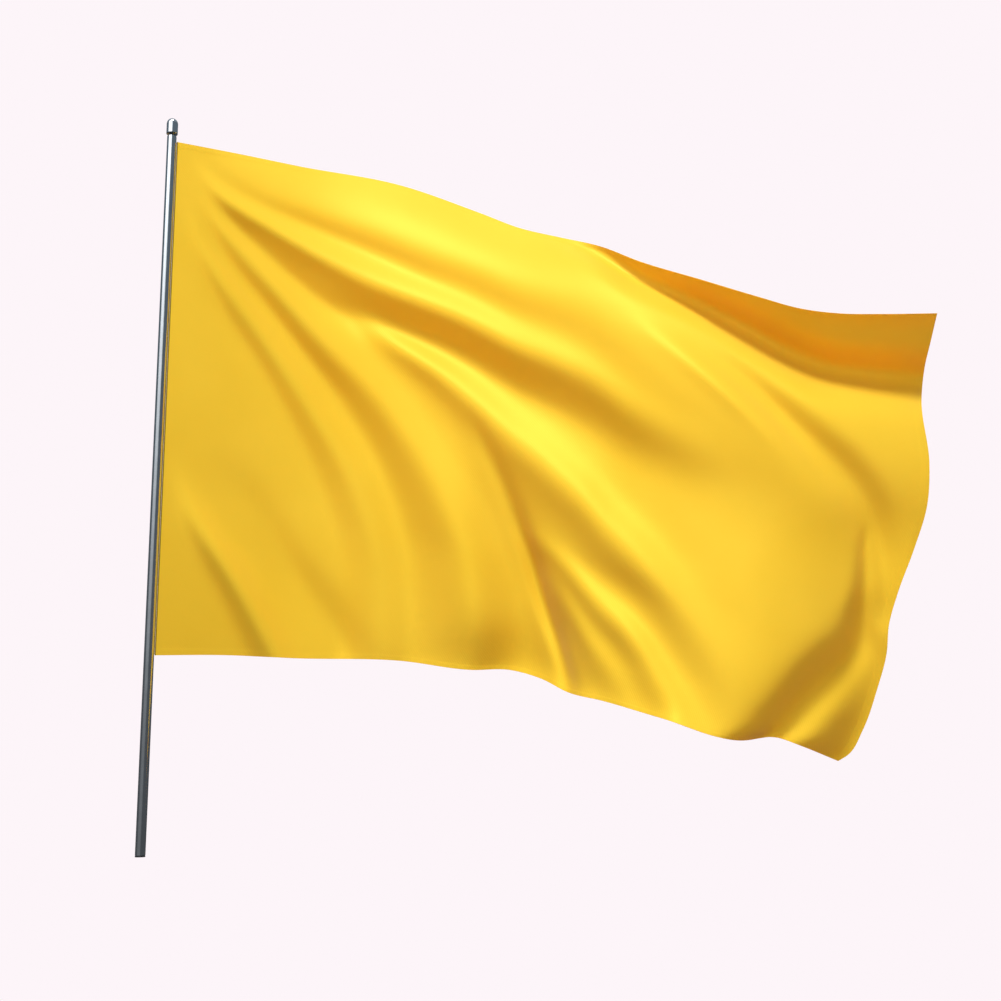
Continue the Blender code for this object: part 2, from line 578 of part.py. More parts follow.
def make_flag():
    """The cloth as one thin closed sheet that follows its folds."""
    sheet = bmesh.new()
    grid = [[sheet.verts.new(point) for point in row] for row in flag_points()]
    for left, right in zip(grid, grid[1:]):
        for step in range(HOIST_STEPS):
            sheet.faces.new((left[step], right[step], right[step + 1], left[step + 1]))
    sheet.normal_update()
    half = CLOTH_THICKNESS / 2
    front = [[vert.co + vert.normal * half for vert in row] for row in grid]
    back = [[vert.co - vert.normal * half for vert in row] for row in grid]
    sheet.clear()

    sides = [[[sheet.verts.new(point) for point in row] for row in side] for side in (front, back)]
    for side, turn in zip(sides, (1, -1)):
        for left, right in zip(side, side[1:]):
            for step in range(HOIST_STEPS):
                corners = (left[step], right[step], right[step + 1], left[step + 1])
                sheet.faces.new(corners[::turn])
    rims = [
        [row[0] for row in side] + side[-1][1:]
        + [row[-1] for row in reversed(side[:-1])] + side[0][-2:0:-1]
        for side in sides
    ]
    for step, (first, second) in enumerate(zip(*rims)):
        after = (step + 1) % len(rims[0])
        sheet.faces.new((first, second, rims[1][after], rims[0][after]))
    bmesh.ops.triangulate(sheet, faces=sheet.faces)
    flag = add_object("flag_cloth", sheet, (0.93, 0.68, 0.045), 0.6, 0.0, smooth_angle=60.0)
    place_origin(flag, (HINGE_X, 0.0, (HOIST_TOP + HOIST_BOTTOM) / 2))


clear_scene()
make_pole()
make_foot_plug()
make_neck()
make_washer()
make_clip()
make_cap_sleeve()
make_cap_bush()
make_cap_dome()
make_hoist()
make_stop()
make_flag()
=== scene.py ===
"""The looks of the flag and its pole: cloth, metal, light and camera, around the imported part."""

import json
import math

import bmesh
import bpy
import numpy as np
from mathutils import Matrix, Vector


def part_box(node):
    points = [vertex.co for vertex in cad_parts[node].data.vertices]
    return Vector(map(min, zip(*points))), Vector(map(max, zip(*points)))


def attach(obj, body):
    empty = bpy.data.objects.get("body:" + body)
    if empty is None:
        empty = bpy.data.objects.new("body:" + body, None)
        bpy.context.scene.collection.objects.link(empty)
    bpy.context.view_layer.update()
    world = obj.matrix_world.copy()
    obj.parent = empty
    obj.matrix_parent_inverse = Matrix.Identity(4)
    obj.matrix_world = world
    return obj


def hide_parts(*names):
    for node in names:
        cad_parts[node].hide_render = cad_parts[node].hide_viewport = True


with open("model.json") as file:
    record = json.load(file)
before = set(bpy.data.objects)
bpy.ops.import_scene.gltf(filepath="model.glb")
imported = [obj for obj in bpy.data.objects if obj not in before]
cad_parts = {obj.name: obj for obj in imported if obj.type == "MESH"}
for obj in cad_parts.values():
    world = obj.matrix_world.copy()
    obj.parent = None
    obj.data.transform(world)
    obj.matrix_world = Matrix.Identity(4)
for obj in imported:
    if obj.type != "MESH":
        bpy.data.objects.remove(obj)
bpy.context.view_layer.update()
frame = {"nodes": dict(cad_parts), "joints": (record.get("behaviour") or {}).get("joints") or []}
HINGE_X = next(joint["pos_m"][0] for joint in frame["joints"] if joint["name"] == "flag_swing")

# The flag's cut, in metres, and how finely its cloth is meshed
FLY_LENGTH = 1.500
HOIST_LENGTH = 0.900
CLOTH_THICKNESS = 0.0003
HEM_THICKNESS = 0.0005
HEM_WIDTH = 0.010
FLY_HEM_WIDTH = 0.016
HEM_STEP = 0.0004
CUT_EDGE_ANGLE = math.radians(60.0)
FLY_STEPS = 250
HOIST_STEPS = 150

# Heading: the woven band that binds the hoist edge, coloured dark olive as painted shade where the
# cloth turns in beside the pole
HEADING_WIDTH = 0.0022
HEADING_THICKNESS = 0.0007
HEADING_STEPS = 6

# Tape and rope between the heading and the pole. The rope ends this far short of the flag's corners.
CORD_SHORT = 0.0015
TAPE_SIDES = 16
TAPE_RIB = 0.0022
TAPE_RIB_STEPS = 4
TAPE_RIB_DEPTH = 0.05
TAPE_CORNER = 0.5
ROPE_SIDES = 24
ROPE_STRANDS = 3
ROPE_STRAND_DEPTH = 0.20
ROPE_PITCH = 0.018
ROPE_STEP = 0.002

# Long wave along the fly, how near the hoist the cloth is held still, and the step along a fold
WAVE_LOW = 0.115
WAVE_HIGH = 0.10
WAVE_STRETCH = 0.185
HOIST_CALM = 0.06
FOLD_SAMPLE = 0.01

# Camera: where it stands, how it is tilted, and its focal length in millimetres
EYE = (0.570, -2.069, 0.122)
EYE_PITCH = math.radians(12.0)
EYE_ROLL = math.radians(-0.746)
EYE_LENS = 46.03

# Outline of the flying cloth, in metres out and up from the hoist's lower corner, as it is seen from
# the front point. The cloth's waves and folds move it along the lines of sight from that point.
FRONT_POINT = (0.561, -2.069, -0.192)
TOP_EDGE = (
    (0.112, 0.875), (0.218, 0.850), (0.393, 0.812), (0.532, 0.758), (0.601, 0.729),
    (0.670, 0.711), (0.738, 0.694), (0.806, 0.665), (0.908, 0.631), (1.009, 0.597),
    (1.076, 0.576), (1.144, 0.566), (1.212, 0.564), (1.309, 0.564),
)
BOTTOM_EDGE = (
    (0.106, -0.001), (0.235, -0.008), (0.396, -0.014), (0.509, -0.030), (0.573, -0.031),
    (0.621, -0.045), (0.668, -0.069), (0.716, -0.081), (0.811, -0.110), (0.937, -0.147),
    (0.994, -0.143), (1.031, -0.156), (1.090, -0.181),
)
# The free edge between those two ends, from the bottom up
FLY_EDGE = (
    (1.107, -0.171), (1.133, -0.132), (1.160, -0.069), (1.179, -0.014), (1.187, 0.035),
    (1.204, 0.083), (1.237, 0.157), (1.265, 0.232), (1.274, 0.300), (1.270, 0.412),
    (1.279, 0.465), (1.295, 0.518),
)
# Each fold is a crest line of (along the fly, up the hoist, half width, height), on the cloth
# laid flat, with the height counted toward the front, so a negative one is a valley.
FOLDS = {
    "roll": (
        (0.05, 0.93, 0.03, 0.0), (0.2, 0.955, 0.07, -0.03), (0.4, 0.965, 0.10, -0.065),
        (0.6, 0.955, 0.10, -0.085), (0.75, 0.94, 0.09, -0.07), (0.9, 0.93, 0.08, -0.03),
        (1.05, 0.92, 0.06, 0.0),
    ),
    "turned_top": (
        (0.68, 0.925, 0.02, 0.0), (0.8, 0.897, 0.024, -0.014), (0.89, 0.872, 0.028, -0.03),
        (0.975, 0.858, 0.032, -0.042), (1.062, 0.845, 0.036, -0.052), (1.15, 0.823, 0.04, -0.06),
        (1.235, 0.80, 0.042, -0.062), (1.335, 0.772, 0.045, -0.064), (1.44, 0.762, 0.048, -0.062),
        (1.6, 0.75, 0.05, -0.058),
    ),
    "top_lip": (
        (0.72, 0.95, 0.04, 0.0), (0.85, 0.955, 0.05, 0.025), (1.0, 0.965, 0.06, 0.05),
        (1.15, 0.975, 0.07, 0.07), (1.3, 0.985, 0.08, 0.09), (1.45, 0.995, 0.09, 0.11),
        (1.6, 1.0, 0.09, 0.12),
    ),
    "swell": (
        (0.0, 0.82, 0.08, 0.0), (0.5, 0.76, 0.12, 0.012), (0.9, 0.68, 0.14, 0.025),
        (1.2, 0.62, 0.14, 0.03), (1.6, 0.55, 0.13, 0.03),
    ),
    "upper_valley": (
        (0.05, 0.86, 0.02, 0.0), (0.15, 0.813, 0.02, -0.005), (0.27, 0.784, 0.024, -0.010),
        (0.39, 0.756, 0.028, -0.012), (0.50, 0.736, 0.031, -0.011), (0.62, 0.732, 0.036, -0.010),
        (0.75, 0.71, 0.04, -0.008), (0.9, 0.68, 0.05, -0.004), (1.0, 0.66, 0.05, 0.0),
    ),
    "first_crest": (
        (0.03, 0.87, 0.012, 0.0), (0.1, 0.812, 0.018, 0.009), (0.2, 0.772, 0.024, 0.014),
        (0.3, 0.732, 0.028, 0.017), (0.4, 0.695, 0.034, 0.018), (0.6, 0.668, 0.04, 0.018),
        (0.8, 0.62, 0.045, 0.016), (1.0, 0.555, 0.05, 0.008), (1.15, 0.52, 0.055, 0.0),
    ),
    "first_valley": (
        (0.03, 0.85, 0.012, 0.0), (0.07, 0.80, 0.014, -0.004), (0.16, 0.73, 0.022, -0.009),
        (0.24, 0.68, 0.026, -0.012), (0.32, 0.635, 0.03, -0.013), (0.41, 0.62, 0.032, -0.012),
        (0.58, 0.60, 0.034, -0.012), (0.70, 0.56, 0.036, -0.011), (0.82, 0.515, 0.04, -0.009),
        (1.0, 0.47, 0.05, -0.004), (1.12, 0.45, 0.05, 0.0),
    ),
    "second_crest": (
        (0.03, 0.85, 0.012, 0.0), (0.10, 0.757, 0.018, 0.008), (0.2, 0.672, 0.027, 0.013),
        (0.3, 0.575, 0.033, 0.016), (0.4, 0.495, 0.038, 0.018), (0.5, 0.395, 0.045, 0.02),
        (0.6, 0.265, 0.052, 0.021), (0.66, 0.08, 0.056, 0.021), (0.68, -0.12, 0.056, 0.021),
    ),
    "second_valley": (
        (0.04, 0.80, 0.012, 0.0), (0.10, 0.705, 0.016, -0.004), (0.20, 0.605, 0.024, -0.008),
        (0.30, 0.505, 0.03, -0.010), (0.375, 0.425, 0.034, -0.011), (0.44, 0.345, 0.036, -0.011),
        (0.49, 0.26, 0.04, -0.011), (0.53, 0.14, 0.042, -0.011), (0.56, -0.1, 0.042, -0.011),
    ),
    "third_crest": (
        (0.02, 0.80, 0.014, 0.0), (0.05, 0.725, 0.018, 0.006), (0.10, 0.66, 0.022, 0.010),
        (0.2, 0.55, 0.028, 0.013), (0.3, 0.43, 0.034, 0.015), (0.38, 0.33, 0.04, 0.015),
        (0.43, 0.23, 0.045, 0.013), (0.46, 0.1, 0.05, 0.010), (0.47, -0.12, 0.05, 0.010),
    ),
    "third_valley": (
        (0.03, 0.72, 0.014, 0.0), (0.10, 0.60, 0.022, -0.004), (0.2, 0.485, 0.028, -0.006),
        (0.29, 0.36, 0.034, -0.007), (0.36, 0.23, 0.04, -0.007), (0.40, 0.08, 0.045, -0.006),
        (0.41, -0.12, 0.045, -0.005),
    ),
    "middle_crest": (
        (0.36, 0.63, 0.018, 0.0), (0.45, 0.585, 0.025, 0.012), (0.55, 0.54, 0.033, 0.018),
        (0.7, 0.455, 0.045, 0.026), (0.8, 0.39, 0.052, 0.03), (0.9, 0.335, 0.055, 0.031),
        (1.0, 0.275, 0.052, 0.028), (1.15, 0.15, 0.058, 0.013), (1.25, 0.07, 0.06, 0.0),
    ),
    "middle_crease": (
        (0.60, 0.50, 0.015, 0.0), (0.65, 0.427, 0.018, -0.006), (0.70, 0.355, 0.018, -0.011),
        (0.742, 0.275, 0.017, -0.019), (0.79, 0.17, 0.016, -0.023), (0.82, 0.118, 0.016, -0.022),
        (0.855, 0.068, 0.016, -0.019), (0.905, 0.0, 0.018, -0.015), (0.98, -0.12, 0.02, -0.012),
    ),
    "middle_hollow": (
        (0.64, 0.40, 0.04, 0.0), (0.71, 0.27, 0.055, -0.028), (0.77, 0.14, 0.07, -0.053),
        (0.82, 0.02, 0.08, -0.062), (0.88, -0.15, 0.08, -0.062),
    ),
    "small_crest": (
        (0.79, 0.22, 0.018, 0.0), (0.84, 0.165, 0.022, 0.010), (0.90, 0.115, 0.026, 0.013),
        (0.97, 0.06, 0.032, 0.013), (1.1, -0.06, 0.034, 0.010),
    ),
    "lower_crest": (
        (0.76, 0.28, 0.018, 0.0), (0.84, 0.22, 0.028, 0.014), (0.9, 0.19, 0.034, 0.020),
        (0.99, 0.138, 0.036, 0.025), (1.06, 0.072, 0.042, 0.026), (1.24, -0.11, 0.05, 0.026),
    ),
    "under_roll": (
        (0.92, 0.80, 0.03, 0.0), (1.03, 0.775, 0.035, -0.010), (1.14, 0.728, 0.042, -0.020),
        (1.22, 0.67, 0.05, -0.033), (1.27, 0.612, 0.052, -0.037), (1.33, 0.555, 0.05, -0.036),
        (1.375, 0.50, 0.046, -0.029), (1.415, 0.445, 0.04, -0.025), (1.45, 0.38, 0.034, -0.018),
        (1.50, 0.27, 0.03, -0.010),
    ),
    "ridge": (
        (0.92, 0.785, 0.028, 0.0), (1.03, 0.738, 0.03, 0.007), (1.135, 0.68, 0.032, 0.011),
        (1.22, 0.615, 0.036, 0.012), (1.308, 0.53, 0.042, 0.009), (1.38, 0.44, 0.045, 0.0),
    ),
    "belly": (
        (1.0, 0.50, 0.15, 0.0), (1.15, 0.36, 0.15, 0.015), (1.23, 0.25, 0.15, 0.028),
        (1.25, 0.1, 0.14, 0.036), (1.25, -0.25, 0.13, 0.036),
    ),
    "fly_crease": (
        (1.395, 0.46, 0.008, 0.0), (1.403, 0.42, 0.010, -0.005), (1.423, 0.362, 0.014, -0.010),
        (1.438, 0.305, 0.02, -0.018), (1.442, 0.25, 0.028, -0.028), (1.425, 0.19, 0.04, -0.036),
        (1.38, 0.115, 0.05, -0.04), (1.35, 0.05, 0.055, -0.042), (1.30, -0.12, 0.055, -0.042),
    ),
    "bottom_tuck": (
        (0.60, -0.02, 0.06, 0.0), (0.66, -0.01, 0.08, -0.035), (0.72, 0.0, 0.09, -0.05),
        (0.78, -0.01, 0.08, -0.035), (0.84, -0.02, 0.06, 0.0),
    ),
    "fly_lean": (
        (1.62, 0.70, 0.12, 0.0), (1.62, 0.5, 0.12, 0.03), (1.62, 0.3, 0.12, 0.03),
        (1.62, 0.12, 0.12, 0.0),
    ),
    "fly_tail": (
        (1.46, 0.33, 0.03, 0.0), (1.485, 0.22, 0.045, -0.022), (1.49, 0.1, 0.06, -0.044),
        (1.49, -0.1, 0.07, -0.052),
    ),
    "hoist_crest": (
        (0.0, 0.34, 0.018, 0.0), (0.05, 0.255, 0.025, 0.013), (0.15, 0.14, 0.03, 0.027),
        (0.2, 0.08, 0.034, 0.030), (0.33, -0.08, 0.038, 0.030),
    ),
    "hoist_valley": (
        (0.10, 0.34, 0.03, 0.0), (0.2, 0.25, 0.035, -0.007), (0.27, 0.16, 0.035, -0.012),
        (0.35, 0.08, 0.04, -0.015), (0.52, -0.1, 0.04, -0.015),
    ),
}


# ---------- shaders ----------

class Nodes:
    """Short calls for building a node tree."""

    def __init__(self, tree):
        self.tree = tree

    def add(self, kind, inputs=None, **settings):
        node = self.tree.nodes.new(kind)
        for key, value in settings.items():
            setattr(node, key, value)
        for key, value in (inputs or {}).items():
            self.feed(node.inputs[key], value)
        return node

    def feed(self, socket, value):
        if isinstance(value, bpy.types.NodeSocket):
            self.tree.links.new(value, socket)
        else:
            socket.default_value = value

    def ramp(self, factor, *stops):
        node = self.add("ShaderNodeValToRGB", {"Fac": factor})
        while len(node.color_ramp.elements) < len(stops):
            node.color_ramp.elements.new(0.5)
        for element, (place, colour) in zip(node.color_ramp.elements, stops):
            grey_or_colour = colour if isinstance(colour, tuple) else (colour,) * 3
            element.position = place
            element.color = (*grey_or_colour, 1.0)
        return node.outputs["Color"]

    def math(self, operation, *values):
        return self.add("ShaderNodeMath", dict(enumerate(values)), operation=operation).outputs[0]

    def noise(self, where, scale, detail=2.0, roughness=0.5):
        return self.add("ShaderNodeTexNoise", {
            "Vector": where, "Scale": scale, "Detail": detail, "Roughness": roughness,
        }).outputs["Fac"]

    def stretched(self, where, scale):
        return self.add("ShaderNodeMapping", {"Vector": where, "Scale": scale}).outputs["Vector"]

    def bump(self, height, strength, distance):
        return self.add("ShaderNodeBump", {
            "Height": height, "Strength": strength, "Distance": distance,
        }).outputs["Normal"]


class Surface(Nodes):
    """A new material: its node tree, its principled shader and its output."""

    def __init__(self, name):
        self.material = bpy.data.materials.new(name)
        self.material.use_nodes = True
        super().__init__(self.material.node_tree)
        self.shader = self.tree.nodes["Principled BSDF"]
        self.output = self.tree.nodes["Material Output"]

    def set(self, **inputs):
        for key, value in inputs.items():
            self.feed(self.shader.inputs[key.replace("_", " ")], value)


# How much of the cloth's light comes through it
GLOW_SHARE = 0.33


def cloth_material():
    """Light woven polyester: a fine twill, a soft sheen, and light that glows through it."""
    made = Surface("flag_fabric")
    cut = made.add("ShaderNodeUVMap", uv_map="cut").outputs["UV"]
    shade = made.noise(cut, 3.0, 3.0)
    colour = made.ramp(shade, (0.3, (0.86, 0.655, 0.040)), (0.7, (0.92, 0.725, 0.055)))
    twill = made.add("ShaderNodeTexWave", {
        "Vector": cut, "Scale": 120.0, "Distortion": 0.6, "Detail": 2.0, "Detail Scale": 3.0,
    }, wave_type="BANDS", bands_direction="DIAGONAL").outputs["Fac"]
    slub = made.noise(cut, 60.0, 3.0)
    height = made.math("ADD", made.math("MULTIPLY", twill, 0.25), made.math("MULTIPLY", slub, 0.75))
    normal = made.bump(height, 0.4, 0.0006)
    made.set(Base_Color=colour, Roughness=0.45, Normal=normal, Specular_IOR_Level=0.58)
    made.shader.inputs["Specular Tint"].default_value = (1.0, 0.72, 0.06, 1.0)
    made.shader.inputs["Sheen Weight"].default_value = 0.15
    made.shader.inputs["Sheen Roughness"].default_value = 0.4
    glow = made.add("ShaderNodeBsdfTranslucent", {"Color": (1.0, 0.43, 0.005, 1.0), "Normal": normal})
    mix = made.add("ShaderNodeMixShader", {
        0: GLOW_SHARE, 1: made.shader.outputs[0], 2: glow.outputs[0],
    })
    made.feed(made.output.inputs["Surface"], mix.outputs[0])
    return made.material


def metal_material(name, colour, smooth, worn):
    """Drawn and polished metal: fine lines around it, cloudy handling marks, a trace of grain."""
    made = Surface(name)
    where = made.add("ShaderNodeTexCoord").outputs["Object"]
    lines = made.noise(made.stretched(where, (2000.0, 2000.0, 20.0)), 1.0, 2.0)
    marks = made.noise(where, 45.0, 4.0)
    roughness = made.ramp(
        made.math("MULTIPLY_ADD", lines, 0.4, made.math("MULTIPLY", marks, 0.6)),
        (0.3, smooth), (0.75, worn),
    )
    tint = made.ramp(marks, (0.3, tuple(part * 0.95 for part in colour)), (0.7, colour))
    made.set(Base_Color=tint, Roughness=roughness)
    made.shader.inputs["Metallic"].default_value = 1.0
    return made.material


def webbing_material(name, dark, light):
    """Ribbed woven band or laid rope: ribs across its length and uneven dye."""
    made = Surface(name)
    cut = made.add("ShaderNodeUVMap", uv_map="cut").outputs["UV"]
    ribs = made.add("ShaderNodeTexWave", {
        "Vector": cut, "Scale": 220.0, "Distortion": 0.5, "Detail": 1.0,
    }, bands_direction="Y").outputs["Fac"]
    dye = made.noise(cut, 90.0, 3.0)
    mixed = made.math("MULTIPLY_ADD", ribs, 0.5, made.math("MULTIPLY", dye, 0.5))
    colour = made.ramp(mixed, (0.25, dark), (0.75, light))
    made.set(
        Base_Color=colour, Roughness=0.8, Specular_IOR_Level=0.1,
        Normal=made.bump(ribs, 0.4, 0.0003),
    )
    return made.material


def plastic_material():
    """Black moulded plastic with a fine grain."""
    made = Surface("plug_plastic")
    where = made.add("ShaderNodeTexCoord").outputs["Object"]
    grain = made.noise(where, 900.0, 2.0)
    colour = made.ramp(grain, (0.3, (0.012, 0.013, 0.015)), (0.7, (0.02, 0.021, 0.024)))
    made.set(Base_Color=colour, Roughness=0.45, Normal=made.bump(grain, 0.2, 0.0002))
    return made.material


# ---------- the flag ----------

def by_length(points):
    """Rows with the distance travelled over the first two values put in front."""
    rows = np.array(points, dtype=float)
    strides = np.linalg.norm(np.diff(rows[:, :2], axis=0), axis=1)
    return np.column_stack([np.concatenate([[0.0], np.cumsum(strides)]), rows])


def smooth_curve(rows, places):
    """A smooth curve through rows of (distance, values...), read at many distances."""
    knots, values = rows[:, 0], rows[:, 1:]
    steps = np.diff(knots)[:, None]
    rises = np.diff(values, axis=0) / steps
    inner = (rises[:-1] * steps[1:] + rises[1:] * steps[:-1]) / (steps[1:] + steps[:-1])
    slopes = np.vstack([rises[:1], inner, rises[-1:]])
    index = np.clip(np.searchsorted(knots, places, side="right") - 1, 0, len(knots) - 2)
    step = steps[index]
    u = (places - knots[index])[:, None] / step
    return (
        (2 * u**3 - 3 * u**2 + 1) * values[index]
        + (u**3 - 2 * u**2 + u) * step * slopes[index]
        + (3 * u**2 - 2 * u**3) * values[index + 1]
        + (u**3 - u**2) * step * slopes[index + 1]
    )


def fold_depth(along, up):
    """How far the folds move the cloth back (+) or to the front (-)."""
    depth = np.zeros(along.shape)
    for crest in FOLDS.values():
        rows = by_length(crest)
        count = math.ceil(rows[-1, 0] / FOLD_SAMPLE)
        spacing = rows[-1, 0] / count
        for s, t, width, height in smooth_curve(rows, (np.arange(count) + 0.5) * spacing):
            share = height * spacing / (width * math.sqrt(math.pi))
            depth -= share * np.exp(-((along - s) ** 2 + (up - t) ** 2) / width**2)
    return depth * (1.0 - np.exp(-((along / HOIST_CALM) ** 2)))


def flag_points(u, v):
    """The middle of the cloth at shares of the fly and the hoist, from the flag's lower corner."""
    top = by_length([(0.0, HOIST_LENGTH), *TOP_EDGE])
    bottom = by_length([(0.0, 0.0), *BOTTOM_EDGE])
    fly = by_length([BOTTOM_EDGE[-1], *FLY_EDGE, TOP_EDGE[-1]])
    above = smooth_curve(top, u * top[-1, 0])[:, None, :]
    below = smooth_curve(bottom, u * bottom[-1, 0])[:, None, :]
    free = smooth_curve(fly, v * fly[-1, 0])[None, :, :]
    u, v = u[:, None, None], v[None, :, None]
    chord = np.array(BOTTOM_EDGE[-1]) * (1 - v) + np.array(TOP_EDGE[-1]) * v
    flat = below * (1 - v) + above * v + u * (free - chord)

    along, up = np.broadcast_arrays(u[..., 0] * FLY_LENGTH, v[..., 0] * HOIST_LENGTH)
    turn = 2 * math.pi * u[..., 0] / (1 + WAVE_STRETCH * u[..., 0])
    wave = (WAVE_LOW * (1 - v[..., 0]) + WAVE_HIGH * v[..., 0]) * np.sin(turn)
    y = fold_depth(along, up) + wave

    eye_x, eye_y, eye_z = FRONT_POINT
    nearness = (y - eye_y) / -eye_y
    x = eye_x + (flat[..., 0] - eye_x) * nearness
    z = eye_z + (flat[..., 1] - eye_z) * nearness
    return np.stack([x, y, z], axis=-1), along, up


def grid_object(name, points, along, up, closed=False):
    """A sheet of quads from a grid of points, with its flat pattern in metres as a UV map."""
    columns, rows = points.shape[:2]
    index = np.arange(columns * rows).reshape(columns, rows)
    if closed:
        index = np.vstack([index, index[:1]])
    faces = np.stack([index[:-1, :-1], index[1:, :-1], index[1:, 1:], index[:-1, 1:]], axis=-1)
    mesh = bpy.data.meshes.new(name)
    mesh.from_pydata(points.reshape(-1, 3).tolist(), [], faces.reshape(-1, 4).tolist())
    corners = np.empty(len(mesh.loops), np.int32)
    mesh.loops.foreach_get("vertex_index", corners)
    pattern = np.column_stack([along.ravel(), up.ravel()])[corners]
    mesh.uv_layers.new(name="cut").data.foreach_set("uv", pattern.astype(np.float32).ravel())
    mesh.shade_smooth()
    made = bpy.data.objects.new(name, mesh)
    bpy.context.collection.objects.link(made)
    return made


def thicken(made, thickness):
    """Thickness added evenly on both sides of a sheet."""
    solid = made.modifiers.new("thickness", "SOLIDIFY")
    solid.thickness = thickness
    solid.offset = 0.0
    return solid


def add_hems(flag, along, up):
    """Turned hems along the three free edges, as cloth that is thicker there."""
    edge = np.minimum(up, HOIST_LENGTH - up)
    hemmed = (edge < HEM_WIDTH) | (along > FLY_LENGTH - FLY_HEM_WIDTH)
    group = flag.vertex_groups.new(name="hem")
    group.add(np.flatnonzero(hemmed.ravel()).tolist(), 1.0, "REPLACE")
    solid = thicken(flag, HEM_THICKNESS)
    solid.vertex_group = "hem"
    solid.thickness_vertex_group = CLOTH_THICKNESS / HEM_THICKNESS


def settle(made):
    """Thickness made part of the mesh, with its cut edges left sharp."""
    depsgraph = bpy.context.evaluated_depsgraph_get()
    thick = bpy.data.meshes.new_from_object(
        made.evaluated_get(depsgraph), preserve_all_data_layers=True, depsgraph=depsgraph,
    )
    made.modifiers.clear()
    made.data = thick
    thick.set_sharp_from_angle(angle=CUT_EDGE_ANGLE)


def hemmed_steps(steps, length, hems):
    """Even shares of an edge, with one more on each side of every hem's inner line."""
    shares = np.linspace(0.0, 1.0, steps + 1)
    lines = [line / length + side * HEM_STEP / length for line in hems for side in (-1, 1)]
    return np.unique(np.round(np.concatenate([shares, lines]), 7))


def make_flag():
    """The sheet with its hems, and the heading along its hoist edge, whose dark olive colour is
    painted shade.
    """
    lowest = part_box("hoist_tape")[0]
    corner = np.array((HINGE_X, 0.0, lowest[2] - CORD_SHORT))
    u = hemmed_steps(FLY_STEPS, FLY_LENGTH, [FLY_LENGTH - FLY_HEM_WIDTH])
    v = hemmed_steps(HOIST_STEPS, HOIST_LENGTH, [HEM_WIDTH, HOIST_LENGTH - HEM_WIDTH])
    points, along, up = flag_points(u, v)
    flag = grid_object("flag", points + corner, along, up)
    flag.data.materials.append(cloth_material())
    add_hems(flag, along, up)

    u = np.linspace(0.0, HEADING_WIDTH / FLY_LENGTH, HEADING_STEPS + 1)
    points, along, up = flag_points(u, v)
    heading = grid_object("heading", points + corner, along, up)
    # The heading's dark olive colours are painted shade: the shadow of the cloth's turn beside the
    # pole.
    painted_shade_band = webbing_material("heading", (0.20, 0.125, 0.009), (0.28, 0.18, 0.014))
    heading.data.materials.append(painted_shade_band)
    thicken(heading, HEADING_THICKNESS)

    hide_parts("flag_cloth")
    for piece in (flag, heading):
        settle(piece)
        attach(piece, "flag")
    return flag, heading


def close_ends(tube):
    """Cap both ends of a tube of quads."""
    shape = bmesh.new()
    shape.from_mesh(tube.data)
    bmesh.ops.holes_fill(shape, edges=[edge for edge in shape.edges if edge.is_boundary])
    bmesh.ops.recalc_face_normals(shape, faces=shape.faces)
    shape.to_mesh(tube.data)
    shape.free()


def tube_object(name, x, y, heights, around):
    """A capped upright tube, from its section's x and y at each turn and height."""
    x, y, z = np.broadcast_arrays(x, y, heights[None, :])
    along, up = np.broadcast_arrays(around, z)
    tube = grid_object(name, np.stack([x, y, z], axis=-1), along, up, closed=True)
    close_ends(tube)
    return tube


def section_of(node, sides, step):
    """A CAD node's middle and half size, with turns round it and heights up it."""
    low, high = (np.array(corner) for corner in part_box(node))
    turns = np.linspace(0.0, 2 * math.pi, sides, endpoint=False)[:, None]
    heights = np.linspace(low[2], high[2], int((high[2] - low[2]) / step) + 1)
    return (high + low) / 2, (high - low) / 2, turns, heights


def make_tape():
    """The woven tape in the groove's mouth, ribbed across its length, coloured dark olive as painted
    shade beside the pole.
    """
    middle, half, turns, heights = section_of("hoist_tape", TAPE_SIDES, TAPE_RIB / TAPE_RIB_STEPS)
    rib = 1.0 - TAPE_RIB_DEPTH * (1 + np.cos(2 * math.pi * heights / TAPE_RIB))[None, :]
    across = np.sign(np.cos(turns)) * np.abs(np.cos(turns)) ** TAPE_CORNER
    deep = np.sign(np.sin(turns)) * np.abs(np.sin(turns)) ** TAPE_CORNER
    tape = tube_object(
        "tape", middle[0] + half[0] * across, middle[1] + half[1] * deep * rib,
        heights, turns * half[0],
    )
    # The tape's dark olive colours are painted shade, like the heading's, for the shadow beside the
    # pole.
    tape.data.materials.append(webbing_material("tape", (0.16, 0.10, 0.008), (0.24, 0.15, 0.012)))
    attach(tape, "hoist")
    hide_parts("hoist_tape")
    return tape


def make_rope():
    """Three-strand rope in the groove: a trefoil section that turns as it climbs."""
    middle, half, turns, heights = section_of("hoist_cord", ROPE_SIDES, ROPE_STEP)
    radius = half[0]
    twist = 2 * math.pi * heights[None, :] / ROPE_PITCH
    strand = np.abs(np.cos(ROPE_STRANDS / 2 * (turns - twist)))
    swell = 1.0 - ROPE_STRAND_DEPTH + ROPE_STRAND_DEPTH * strand
    rope = tube_object(
        "rope", middle[0] + radius * swell * np.cos(turns),
        middle[1] + radius * swell * np.sin(turns), heights, turns * radius,
    )
    rope.data.materials.append(webbing_material("rope", (0.30, 0.25, 0.15), (0.42, 0.36, 0.24)))
    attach(rope, "hoist")
    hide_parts("hoist_cord")
    return rope


# ---------- stage ----------

# The backdrop as the camera sees it, the even light round the cloth, and the one softbox that the
# metal mirrors
PALE = (0.982, 0.913, 0.947)
AMBIENT = (0.26, 0.26, 0.26)
FLOOR_SIZE = 60.0
FLOOR_DROP = 0.0005
SOFTBOX_HEADING = (-0.4226, -0.9063, 0.0)
SOFTBOX_POWER = 1.6


